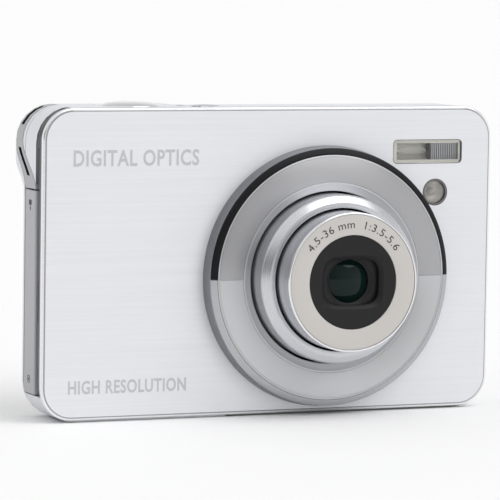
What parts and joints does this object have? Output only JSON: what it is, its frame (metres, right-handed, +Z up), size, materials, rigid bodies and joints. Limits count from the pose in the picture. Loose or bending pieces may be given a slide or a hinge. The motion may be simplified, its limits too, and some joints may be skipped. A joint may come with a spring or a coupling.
{
  "type": "compact digital camera",
  "caption": "Slim compact digital camera with an extended collapsing zoom lens, brushed front plate, flash window, shutter button, rear screen and controls.",
  "frame": {"origin": "point on the flat base, midway across the front plate and in the middle of the body's depth", "axes": "+X across the camera towards the lens side, +Y from the lens towards the screen, +Z up from the base"},
  "size_m": [0.0954, 0.034, 0.0617],
  "materials": {
    "brushed_plate": "horizontally brushed bright aluminium",
    "satin_case": "satin silver paint",
    "side_metal": "satin grey metal finish",
    "bright_chrome": "polished plated",
    "ring_satin": "satin turned aluminium",
    "ring_cut": "finely cut aluminium",
    "barrel_metal": "satin turned aluminium",
    "black_gloss": "glossy black",
    "screen_gloss": "glossy black screen window",
    "black_plastic": "moulded black",
    "warm_silver": "warm grey satin with dark lettering",
    "clear_glass": "clear moulded",
    "coated_glass": "multicoated glass",
    "sensor_glass": "sensor cover",
    "reflector": "bright reflector",
    "board_green": "solder mask",
    "steel": "plain steel",
    "brass": "cut brass",
    "gear_white": "acetal",
    "battery_grey": "battery and card shell",
    "latch_orange": "orange lever"
  },
  "bodies": {
    "root": {"front_plate": "brushed_plate", "front_case": "satin_case", "rear_case": "satin_case", "side_band": "side_metal", "port_frame": "black_plastic", "usb_socket": "steel", "battery_holder": "black_plastic", "battery": "battery_grey", "memory_card": "battery_grey", "case_screw_1": "steel", "case_screw_2": "steel", "case_screw_3": "steel", "case_screw_4": "steel", "tripod_socket": "steel", "main_board": "board_green", "control_board": "board_green", "image_sensor": "sensor_glass", "lcd_panel": "black_plastic", "lcd_window": "screen_gloss", "flash_window": "clear_glass", "flash_reflector": "reflector", "flash_tube": "clear_glass", "flash_capacitor": "black_plastic", "lamp_window": "clear_glass", "status_led": "clear_glass", "shutter_bezel": "bright_chrome", "lens_ring": "ring_satin", "lens_ring_stripe": "black_gloss", "lens_ring_inlay": "ring_cut", "lens_housing": "black_plastic", "zoom_motor": "steel"},
    "shutter_button": {"shutter_button": "bright_chrome", "shutter_spring": "steel"},
    "power_button": {"power_button": "bright_chrome"},
    "zoom_rocker": {"zoom_rocker": "bright_chrome"},
    "mode_button": {"mode_button": "bright_chrome"},
    "playback_button": {"playback_button": "bright_chrome"},
    "menu_button": {"menu_button": "bright_chrome"},
    "delete_button": {"delete_button": "bright_chrome"},
    "ok_button": {"ok_button": "bright_chrome"},
    "nav_pivot": {"nav_pivot": "black_plastic"},
    "nav_ring": {"nav_ring": "bright_chrome"},
    "port_cover": {"port_cover": "side_metal"},
    "door_slider": {"door_slider": "steel"},
    "battery_door": {"battery_door": "satin_case"},
    "battery_latch": {"battery_latch": "latch_orange"},
    "guide_ring": {"guide_ring": "black_plastic"},
    "barrel_1": {"barrel_1": "barrel_metal"},
    "barrel_2": {"barrel_2": "barrel_metal", "name_ring": "warm_silver", "mask_disc": "black_plastic", "front_lens": "coated_glass"},
    "blade_upper": {"barrier_blade_upper": "black_plastic"},
    "blade_lower": {"barrier_blade_lower": "black_plastic"},
    "middle_group": {"shutter_unit": "black_plastic", "middle_lens": "coated_glass"},
    "focus_group": {"focus_cell": "black_plastic", "focus_lens": "coated_glass"},
    "drive_gear": {"drive_gear": "gear_white"},
    "motor_pinion": {"motor_pinion": "brass"}
  },
  "joints": [
    {"name": "shutter_press", "type": "slide", "parent": "root", "child": "shutter_button", "axis": [0, 0, -1], "range_m": [0, 0.0012], "stiffness_N_per_m": 400, "springref_m": -0.0008, "deforming": ["shutter_spring"]},
    {"name": "power_press", "type": "slide", "parent": "root", "child": "power_button", "axis": [0, 0, -1], "range_m": [0, 0.0004], "stiffness_N_per_m": 800, "springref_m": -0.0006},
    {"name": "zoom_rock", "type": "hinge", "parent": "root", "child": "zoom_rocker", "pos_m": [-0.0322, 0.0107, 0.0557], "axis": [0, 0, 1], "range_deg": [-4, 4], "stiffness_Nm_per_rad": 0.05},
    {"name": "mode_press", "type": "slide", "parent": "root", "child": "mode_button", "axis": [0, -1, 0], "range_m": [0, 0.0004], "stiffness_N_per_m": 800, "springref_m": -0.0006},
    {"name": "playback_press", "type": "slide", "parent": "root", "child": "playback_button", "axis": [0, -1, 0], "range_m": [0, 0.0004], "stiffness_N_per_m": 800, "springref_m": -0.0006},
    {"name": "menu_press", "type": "slide", "parent": "root", "child": "menu_button", "axis": [0, -1, 0], "range_m": [0, 0.0004], "stiffness_N_per_m": 800, "springref_m": -0.0006},
    {"name": "delete_press", "type": "slide", "parent": "root", "child": "delete_button", "axis": [0, -1, 0], "range_m": [0, 0.0004], "stiffness_N_per_m": 800, "springref_m": -0.0006},
    {"name": "ok_press", "type": "slide", "parent": "root", "child": "ok_button", "axis": [0, -1, 0], "range_m": [0, 0.0004], "stiffness_N_per_m": 800, "springref_m": -0.0006},
    {"name": "nav_tilt_side", "type": "hinge", "parent": "root", "child": "nav_pivot", "pos_m": [-0.0291, 0.0064, 0.0275], "axis": [0, 0, 1], "range_deg": [-3, 3], "stiffness_Nm_per_rad": 0.05},
    {"name": "nav_tilt_up", "type": "hinge", "parent": "nav_pivot", "child": "nav_ring", "pos_m": [-0.0291, 0.0064, 0.0275], "axis": [1, 0, 0], "range_deg": [-3, 3], "stiffness_Nm_per_rad": 0.05},
    {"name": "port_cover_hinge", "type": "hinge", "parent": "root", "child": "port_cover", "pos_m": [-0.0468, 0.0027, 0.0249], "axis": [0, 0, -1], "range_deg": [0, 110]},
    {"name": "door_slide", "type": "slide", "parent": "root", "child": "door_slider", "axis": [-1, 0, 0], "range_m": [0, 0.0025]},
    {"name": "door_swing", "type": "hinge", "parent": "door_slider", "child": "battery_door", "pos_m": [-0.0088, -0.00145, 0.0006], "axis": [0, -1, 0], "range_deg": [0, 95]},
    {"name": "latch_slide", "type": "slide", "parent": "root", "child": "battery_latch", "axis": [-1, 0, 0], "range_m": [0, 0.001], "stiffness_N_per_m": 200, "springref_m": -0.0005},
    {"name": "lens_extend", "type": "slide", "parent": "root", "child": "guide_ring", "axis": [0, 1, 0], "range_m": [0, 0.0048]},
    {"name": "barrel_1_turn", "type": "hinge", "parent": "guide_ring", "child": "barrel_1", "pos_m": [0.0114, -0.0079, 0.0274], "axis": [0, 1, 0], "range_deg": [0, 90]},
    {"name": "barrel_2_slide", "type": "slide", "parent": "guide_ring", "child": "barrel_2", "axis": [0, 1, 0], "range_m": [0, 0.0058]},
    {"name": "blade_upper_slide", "type": "slide", "parent": "barrel_2", "child": "blade_upper", "axis": [0, 0, -1], "range_m": [0, 0.0046]},
    {"name": "blade_lower_slide", "type": "slide", "parent": "barrel_2", "child": "blade_lower", "axis": [0, 0, 1], "range_m": [0, 0.0046]},
    {"name": "middle_group_slide", "type": "slide", "parent": "root", "child": "middle_group", "axis": [0, 1, 0], "range_m": [0, 0.006]},
    {"name": "focus_slide", "type": "slide", "parent": "root", "child": "focus_group", "axis": [0, 1, 0], "range_m": [0, 0.0009]},
    {"name": "drive_gear_turn", "type": "hinge", "parent": "root", "child": "drive_gear", "pos_m": [-0.00246, -0.0079, 0.04126], "axis": [0, 1, 0], "range_deg": [-800, 0]},
    {"name": "motor_turn", "type": "hinge", "parent": "root", "child": "motor_pinion", "pos_m": [-0.00649, -0.0079, 0.04623], "axis": [0, 1, 0], "range_deg": [0, 2400]}
  ],
  "couplings": [
    {"joint": "barrel_1_turn", "follows": "lens_extend", "rad_per_m": 327.25},
    {"joint": "barrel_2_slide", "follows": "lens_extend", "ratio": 1.2083},
    {"joint": "blade_upper_slide", "follows": "lens_extend", "ratio": 0.9583},
    {"joint": "blade_lower_slide", "follows": "lens_extend", "ratio": 0.9583},
    {"joint": "middle_group_slide", "follows": "lens_extend", "ratio": 1.25},
    {"joint": "drive_gear_turn", "follows": "lens_extend", "rad_per_m": -2879.8},
    {"joint": "motor_turn", "follows": "lens_extend", "rad_per_m": 8639.4}
  ]
}
